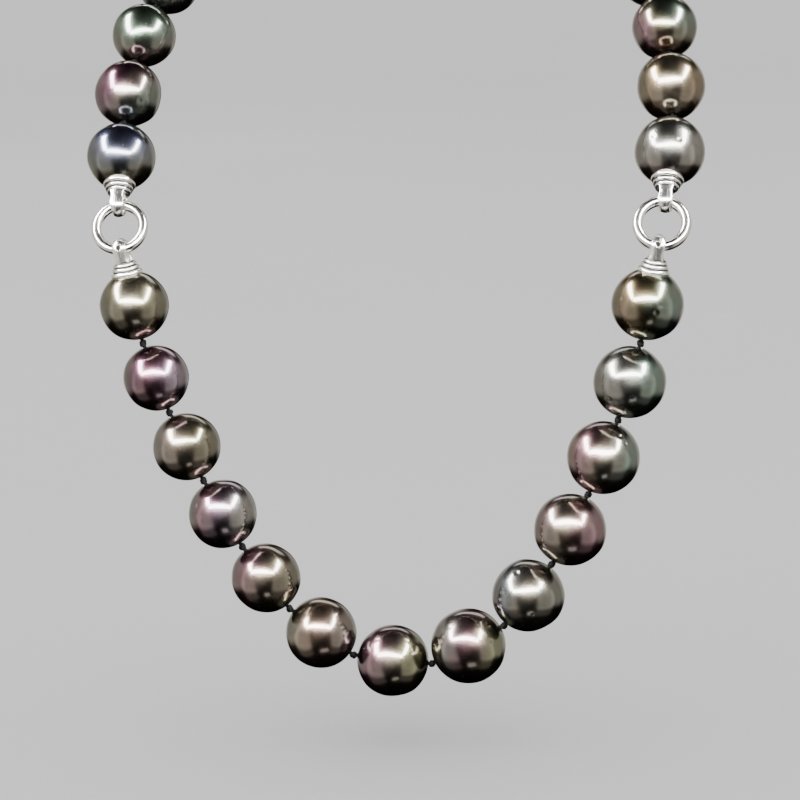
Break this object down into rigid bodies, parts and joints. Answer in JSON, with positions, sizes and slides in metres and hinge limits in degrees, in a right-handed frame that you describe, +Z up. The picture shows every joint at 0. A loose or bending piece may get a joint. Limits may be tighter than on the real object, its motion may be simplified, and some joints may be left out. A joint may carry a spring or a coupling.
{
  "type": "pearl necklace",
  "caption": "Graduated dark pearl necklace with knotted silk, stepped silver caps on two open rings, and a lobster clasp at the nape.",
  "frame": {"origin": "the point at the nape where the clasp rests on the neck, in the middle of the clasp", "axes": "+Z up, the wearer faces -Y, +X to the right as seen from the front"},
  "size_m": [0.1006, 0.0748, 0.1404],
  "materials": {
    "front_pearl_01": "dark nacre, pearly lustre with rose and green overtones",
    "front_pearl_02": "dark nacre, pearly lustre with rose and green overtones",
    "front_pearl_03": "dark nacre, pearly lustre with rose and green overtones",
    "front_pearl_04": "dark nacre, pearly lustre with rose and green overtones",
    "front_pearl_05": "dark nacre, pearly lustre with rose and green overtones",
    "front_pearl_06": "dark nacre, pearly lustre with rose and green overtones",
    "front_pearl_07": "dark nacre, pearly lustre with rose and green overtones",
    "front_pearl_08": "dark nacre, pearly lustre with rose and green overtones",
    "front_pearl_09": "dark nacre, pearly lustre with rose and green overtones",
    "front_pearl_10": "dark nacre, pearly lustre with rose and green overtones",
    "front_pearl_11": "dark nacre, pearly lustre with rose and green overtones",
    "front_pearl_12": "dark nacre, pearly lustre with rose and green overtones",
    "front_pearl_13": "dark nacre, pearly lustre with rose and green overtones",
    "neck_pearl_left_1": "dark nacre, pearly lustre with rose and green overtones",
    "neck_pearl_left_2": "dark nacre, pearly lustre with rose and green overtones",
    "neck_pearl_left_3": "dark nacre, pearly lustre with rose and green overtones",
    "neck_pearl_left_4": "dark nacre, pearly lustre with rose and green overtones",
    "neck_pearl_left_5": "dark nacre, pearly lustre with rose and green overtones",
    "neck_pearl_left_6": "dark nacre, pearly lustre with rose and green overtones",
    "neck_pearl_left_7": "dark nacre, pearly lustre with rose and green overtones",
    "neck_pearl_left_8": "dark nacre, pearly lustre with rose and green overtones",
    "neck_pearl_right_1": "dark nacre, pearly lustre with rose and green overtones",
    "neck_pearl_right_2": "dark nacre, pearly lustre with rose and green overtones",
    "neck_pearl_right_3": "dark nacre, pearly lustre with rose and green overtones",
    "neck_pearl_right_4": "dark nacre, pearly lustre with rose and green overtones",
    "neck_pearl_right_5": "dark nacre, pearly lustre with rose and green overtones",
    "neck_pearl_right_6": "dark nacre, pearly lustre with rose and green overtones",
    "neck_pearl_right_7": "dark nacre, pearly lustre with rose and green overtones",
    "neck_pearl_right_8": "dark nacre, pearly lustre with rose and green overtones",
    "silk": "twisted black silk, knotted",
    "polished_silver": "high polish",
    "clasp_silver": "high polish",
    "fine_wire": "bright fine wire"
  },
  "bodies": {
    "neck_strands": {"silk_neck_left": "silk", "silk_neck_right": "silk", "cap_upper_left": "polished_silver", "cap_upper_right": "polished_silver", "clasp_body": "clasp_silver", "clasp_rivet": "clasp_silver", "clasp_spring": "fine_wire", "clasp_ring": "clasp_silver", "catch_ring": "clasp_silver", "gimp_left": "fine_wire", "gimp_right": "fine_wire"},
    "ring_left": {"ring_left": "polished_silver"},
    "link_left_1": {"cap_lower_left": "polished_silver", "silk_left_1": "silk"},
    "link_left_2": {"silk_left_2": "silk"},
    "link_left_3": {"silk_left_3": "silk"},
    "link_left_4": {"silk_left_4": "silk"},
    "link_left_5": {"silk_left_5": "silk"},
    "link_left_6": {"silk_left_6": "silk"},
    "ring_right": {"ring_right": "polished_silver"},
    "link_right_1": {"cap_lower_right": "polished_silver", "silk_right_1": "silk"},
    "link_right_2": {"silk_right_2": "silk"},
    "link_right_3": {"silk_right_3": "silk"},
    "link_right_4": {"silk_right_4": "silk"},
    "link_right_5": {"silk_right_5": "silk"},
    "link_right_6": {"silk_right_6": "silk"},
    "clasp_trigger": {"clasp_trigger": "clasp_silver"},
    "front_pearl_01": {"front_pearl_01": "front_pearl_01"},
    "front_pearl_02": {"front_pearl_02": "front_pearl_02"},
    "front_pearl_03": {"front_pearl_03": "front_pearl_03"},
    "front_pearl_04": {"front_pearl_04": "front_pearl_04"},
    "front_pearl_05": {"front_pearl_05": "front_pearl_05"},
    "front_pearl_06": {"front_pearl_06": "front_pearl_06"},
    "front_pearl_07": {"front_pearl_07": "front_pearl_07"},
    "front_pearl_08": {"front_pearl_08": "front_pearl_08"},
    "front_pearl_09": {"front_pearl_09": "front_pearl_09"},
    "front_pearl_10": {"front_pearl_10": "front_pearl_10"},
    "front_pearl_11": {"front_pearl_11": "front_pearl_11"},
    "front_pearl_12": {"front_pearl_12": "front_pearl_12"},
    "front_pearl_13": {"front_pearl_13": "front_pearl_13"},
    "neck_pearl_left_1": {"neck_pearl_left_1": "neck_pearl_left_1"},
    "neck_pearl_left_2": {"neck_pearl_left_2": "neck_pearl_left_2"},
    "neck_pearl_left_3": {"neck_pearl_left_3": "neck_pearl_left_3"},
    "neck_pearl_left_4": {"neck_pearl_left_4": "neck_pearl_left_4"},
    "neck_pearl_left_5": {"neck_pearl_left_5": "neck_pearl_left_5"},
    "neck_pearl_left_6": {"neck_pearl_left_6": "neck_pearl_left_6"},
    "neck_pearl_left_7": {"neck_pearl_left_7": "neck_pearl_left_7"},
    "neck_pearl_left_8": {"neck_pearl_left_8": "neck_pearl_left_8"},
    "neck_pearl_right_1": {"neck_pearl_right_1": "neck_pearl_right_1"},
    "neck_pearl_right_2": {"neck_pearl_right_2": "neck_pearl_right_2"},
    "neck_pearl_right_3": {"neck_pearl_right_3": "neck_pearl_right_3"},
    "neck_pearl_right_4": {"neck_pearl_right_4": "neck_pearl_right_4"},
    "neck_pearl_right_5": {"neck_pearl_right_5": "neck_pearl_right_5"},
    "neck_pearl_right_6": {"neck_pearl_right_6": "neck_pearl_right_6"},
    "neck_pearl_right_7": {"neck_pearl_right_7": "neck_pearl_right_7"},
    "neck_pearl_right_8": {"neck_pearl_right_8": "neck_pearl_right_8"}
  },
  "joints": [
    {"name": "ring_swing_left", "type": "hinge", "parent": "neck_strands", "child": "ring_left", "pos_m": [-0.04417, -0.06108, -0.05593], "axis": [-1, 0, 0], "range_deg": [-35, 40]},
    {"name": "ring_swing_right", "type": "hinge", "parent": "neck_strands", "child": "ring_right", "pos_m": [0.04417, -0.06108, -0.05593], "axis": [-1, 0, 0], "range_deg": [-35, 40]},
    {"name": "cap_swing_left", "type": "hinge", "parent": "ring_left", "child": "link_left_1", "pos_m": [-0.0431, -0.06489, -0.06254], "axis": [-1, 0, 0], "range_deg": [-40, 40]},
    {"name": "cap_swing_right", "type": "hinge", "parent": "ring_right", "child": "link_right_1", "pos_m": [0.0431, -0.06489, -0.06254], "axis": [-1, 0, 0], "range_deg": [-40, 40]},
    {"name": "bend_1_left", "type": "hinge", "parent": "link_left_1", "child": "link_left_2", "pos_m": [-0.04023, -0.06489, -0.07789], "axis": [-1, 0, 0.0025], "range_deg": [-25, 25]},
    {"name": "bend_1_right", "type": "hinge", "parent": "link_right_1", "child": "link_right_2", "pos_m": [0.04024, -0.06489, -0.07809], "axis": [-1, 0, 0.0025], "range_deg": [-25, 25]},
    {"name": "bend_2_left", "type": "hinge", "parent": "link_left_2", "child": "link_left_3", "pos_m": [-0.03627, -0.06489, -0.08935], "axis": [-0.9999, 0, 0.0157], "range_deg": [-25, 25]},
    {"name": "bend_2_right", "type": "hinge", "parent": "link_right_2", "child": "link_right_3", "pos_m": [0.03658, -0.06489, -0.09049], "axis": [-0.9999, 0, 0.0157], "range_deg": [-25, 25]},
    {"name": "bend_3_left", "type": "hinge", "parent": "link_left_3", "child": "link_left_4", "pos_m": [-0.0311, -0.06489, -0.10065], "axis": [-0.9995, 0, 0.0322], "range_deg": [-25, 25]},
    {"name": "bend_3_right", "type": "hinge", "parent": "link_right_3", "child": "link_right_4", "pos_m": [0.03168, -0.06489, -0.10267], "axis": [-0.9995, 0, 0.0322], "range_deg": [-25, 25]},
    {"name": "bend_4_left", "type": "hinge", "parent": "link_left_4", "child": "link_left_5", "pos_m": [-0.02506, -0.06489, -0.11174], "axis": [-0.9988, 0, 0.0491], "range_deg": [-25, 25]},
    {"name": "bend_4_right", "type": "hinge", "parent": "link_right_4", "child": "link_right_5", "pos_m": [0.02568, -0.06489, -0.11424], "axis": [-0.9988, 0, 0.0491], "range_deg": [-25, 25]},
    {"name": "bend_5_left", "type": "hinge", "parent": "link_left_5", "child": "link_left_6", "pos_m": [-0.01759, -0.06489, -0.12218], "axis": [-0.9974, 0, 0.0721], "range_deg": [-25, 25]},
    {"name": "bend_5_right", "type": "hinge", "parent": "link_right_5", "child": "link_right_6", "pos_m": [0.0178, -0.06489, -0.12474], "axis": [-0.9974, 0, 0.0721], "range_deg": [-25, 25]},
    {"name": "clasp_trigger_open", "type": "hinge", "parent": "neck_strands", "child": "clasp_trigger", "pos_m": [0.0009, 0.0011, -0.00175], "axis": [0, 1, 0], "range_deg": [0, 18], "stiffness_Nm_per_rad": 0.0001, "springref_deg": -17.19},
    {"name": "front_pearl_01_spin", "type": "hinge", "parent": "link_left_1", "child": "front_pearl_01", "pos_m": [-0.04139, -0.06489, -0.07168], "axis": [0.1836, 0, -0.983], "continuous": true},
    {"name": "front_pearl_02_spin", "type": "hinge", "parent": "link_left_2", "child": "front_pearl_02", "pos_m": [-0.03825, -0.06489, -0.08362], "axis": [0.3269, 0, -0.9451], "continuous": true},
    {"name": "front_pearl_03_spin", "type": "hinge", "parent": "link_left_3", "child": "front_pearl_03", "pos_m": [-0.03368, -0.06489, -0.095], "axis": [0.4159, 0, -0.9094], "continuous": true},
    {"name": "front_pearl_04_spin", "type": "hinge", "parent": "link_left_4", "child": "front_pearl_04", "pos_m": [-0.02808, -0.06489, -0.1062], "axis": [0.4784, 0, -0.8782], "continuous": true},
    {"name": "front_pearl_05_spin", "type": "hinge", "parent": "link_left_5", "child": "front_pearl_05", "pos_m": [-0.02132, -0.06489, -0.11696], "axis": [0.5818, 0, -0.8133], "continuous": true},
    {"name": "front_pearl_06_spin", "type": "hinge", "parent": "link_left_6", "child": "front_pearl_06", "pos_m": [-0.01238, -0.06489, -0.12609], "axis": [0.7995, 0, -0.6007], "continuous": true},
    {"name": "front_pearl_07_spin", "type": "hinge", "parent": "link_left_6", "child": "front_pearl_07", "pos_m": [-0.00065, -0.06489, -0.13068], "axis": [0.9947, 0, -0.1032], "continuous": true},
    {"name": "front_pearl_08_spin", "type": "hinge", "parent": "link_right_6", "child": "front_pearl_08", "pos_m": [0.01184, -0.06489, -0.12805], "axis": [0.874, 0, 0.486], "continuous": true},
    {"name": "front_pearl_09_spin", "type": "hinge", "parent": "link_right_5", "child": "front_pearl_09", "pos_m": [0.02174, -0.06489, -0.11949], "axis": [0.6007, 0, 0.7995], "continuous": true},
    {"name": "front_pearl_10_spin", "type": "hinge", "parent": "link_right_4", "child": "front_pearl_10", "pos_m": [0.02868, -0.06489, -0.10846], "axis": [0.4605, 0, 0.8876], "continuous": true},
    {"name": "front_pearl_11_spin", "type": "hinge", "parent": "link_right_3", "child": "front_pearl_11", "pos_m": [0.03413, -0.06489, -0.09658], "axis": [0.3733, 0, 0.9277], "continuous": true},
    {"name": "front_pearl_12_spin", "type": "hinge", "parent": "link_right_2", "child": "front_pearl_12", "pos_m": [0.03841, -0.06489, -0.08429], "axis": [0.2827, 0, 0.9592], "continuous": true},
    {"name": "front_pearl_13_spin", "type": "hinge", "parent": "link_right_1", "child": "front_pearl_13", "pos_m": [0.0414, -0.06489, -0.07178], "axis": [0.1809, 0, 0.9835], "continuous": true},
    {"name": "neck_pearl_left_1_spin", "type": "hinge", "parent": "neck_strands", "child": "neck_pearl_left_1", "pos_m": [-0.04467, -0.05538, -0.04861], "axis": [-0.0537, 0.6133, 0.788], "continuous": true},
    {"name": "neck_pearl_left_2_spin", "type": "hinge", "parent": "neck_strands", "child": "neck_pearl_left_2", "pos_m": [-0.04474, -0.04775, -0.03898], "axis": [0.0439, 0.6278, 0.7771], "continuous": true},
    {"name": "neck_pearl_left_3_spin", "type": "hinge", "parent": "neck_strands", "child": "neck_pearl_left_3", "pos_m": [-0.04343, -0.04003, -0.02992], "axis": [0.1765, 0.6588, 0.7314], "continuous": true},
    {"name": "neck_pearl_left_4_spin", "type": "hinge", "parent": "neck_strands", "child": "neck_pearl_left_4", "pos_m": [-0.04062, -0.03217, -0.02169], "axis": [0.3023, 0.6789, 0.6691], "continuous": true},
    {"name": "neck_pearl_left_5_spin", "type": "hinge", "parent": "neck_strands", "child": "neck_pearl_left_5", "pos_m": [-0.03643, -0.02418, -0.01437], "axis": [0.4167, 0.6935, 0.5878], "continuous": true},
    {"name": "neck_pearl_left_6_spin", "type": "hinge", "parent": "neck_strands", "child": "neck_pearl_left_6", "pos_m": [-0.03089, -0.01616, -0.00826], "axis": [0.5436, 0.6958, 0.4695], "continuous": true},
    {"name": "neck_pearl_left_7_spin", "type": "hinge", "parent": "neck_strands", "child": "neck_pearl_left_7", "pos_m": [-0.0237, -0.00862, -0.00371], "axis": [0.7136, 0.6203, 0.3256], "continuous": true},
    {"name": "neck_pearl_left_8_spin", "type": "hinge", "parent": "neck_strands", "child": "neck_pearl_left_8", "pos_m": [-0.01473, -0.00248, -0.00107], "axis": [0.8744, 0.4649, 0.1392], "continuous": true},
    {"name": "neck_pearl_right_1_spin", "type": "hinge", "parent": "neck_strands", "child": "neck_pearl_right_1", "pos_m": [0.04467, -0.05538, -0.04861], "axis": [0.0537, 0.6133, 0.788], "continuous": true},
    {"name": "neck_pearl_right_2_spin", "type": "hinge", "parent": "neck_strands", "child": "neck_pearl_right_2", "pos_m": [0.04474, -0.04775, -0.03898], "axis": [-0.0439, 0.6278, 0.7771], "continuous": true},
    {"name": "neck_pearl_right_3_spin", "type": "hinge", "parent": "neck_strands", "child": "neck_pearl_right_3", "pos_m": [0.04343, -0.04003, -0.02992], "axis": [-0.1765, 0.6588, 0.7314], "continuous": true},
    {"name": "neck_pearl_right_4_spin", "type": "hinge", "parent": "neck_strands", "child": "neck_pearl_right_4", "pos_m": [0.04062, -0.03217, -0.02169], "axis": [-0.3023, 0.6789, 0.6691], "continuous": true},
    {"name": "neck_pearl_right_5_spin", "type": "hinge", "parent": "neck_strands", "child": "neck_pearl_right_5", "pos_m": [0.03643, -0.02418, -0.01437], "axis": [-0.4167, 0.6935, 0.5878], "continuous": true},
    {"name": "neck_pearl_right_6_spin", "type": "hinge", "parent": "neck_strands", "child": "neck_pearl_right_6", "pos_m": [0.03089, -0.01616, -0.00826], "axis": [-0.5436, 0.6958, 0.4695], "continuous": true},
    {"name": "neck_pearl_right_7_spin", "type": "hinge", "parent": "neck_strands", "child": "neck_pearl_right_7", "pos_m": [0.0237, -0.00862, -0.00371], "axis": [-0.7136, 0.6203, 0.3256], "continuous": true},
    {"name": "neck_pearl_right_8_spin", "type": "hinge", "parent": "neck_strands", "child": "neck_pearl_right_8", "pos_m": [0.01473, -0.00248, -0.00107], "axis": [-0.8744, 0.4649, 0.1392], "continuous": true}
  ],
  "couplings": [
    {"joint": "ring_swing_right", "follows": "ring_swing_left", "ratio": 1},
    {"joint": "cap_swing_right", "follows": "cap_swing_left", "ratio": 1},
    {"joint": "bend_1_right", "follows": "bend_1_left", "ratio": 1},
    {"joint": "bend_2_right", "follows": "bend_2_left", "ratio": 1},
    {"joint": "bend_3_right", "follows": "bend_3_left", "ratio": 1},
    {"joint": "bend_4_right", "follows": "bend_4_left", "ratio": 1},
    {"joint": "bend_5_right", "follows": "bend_5_left", "ratio": 1}
  ]
}
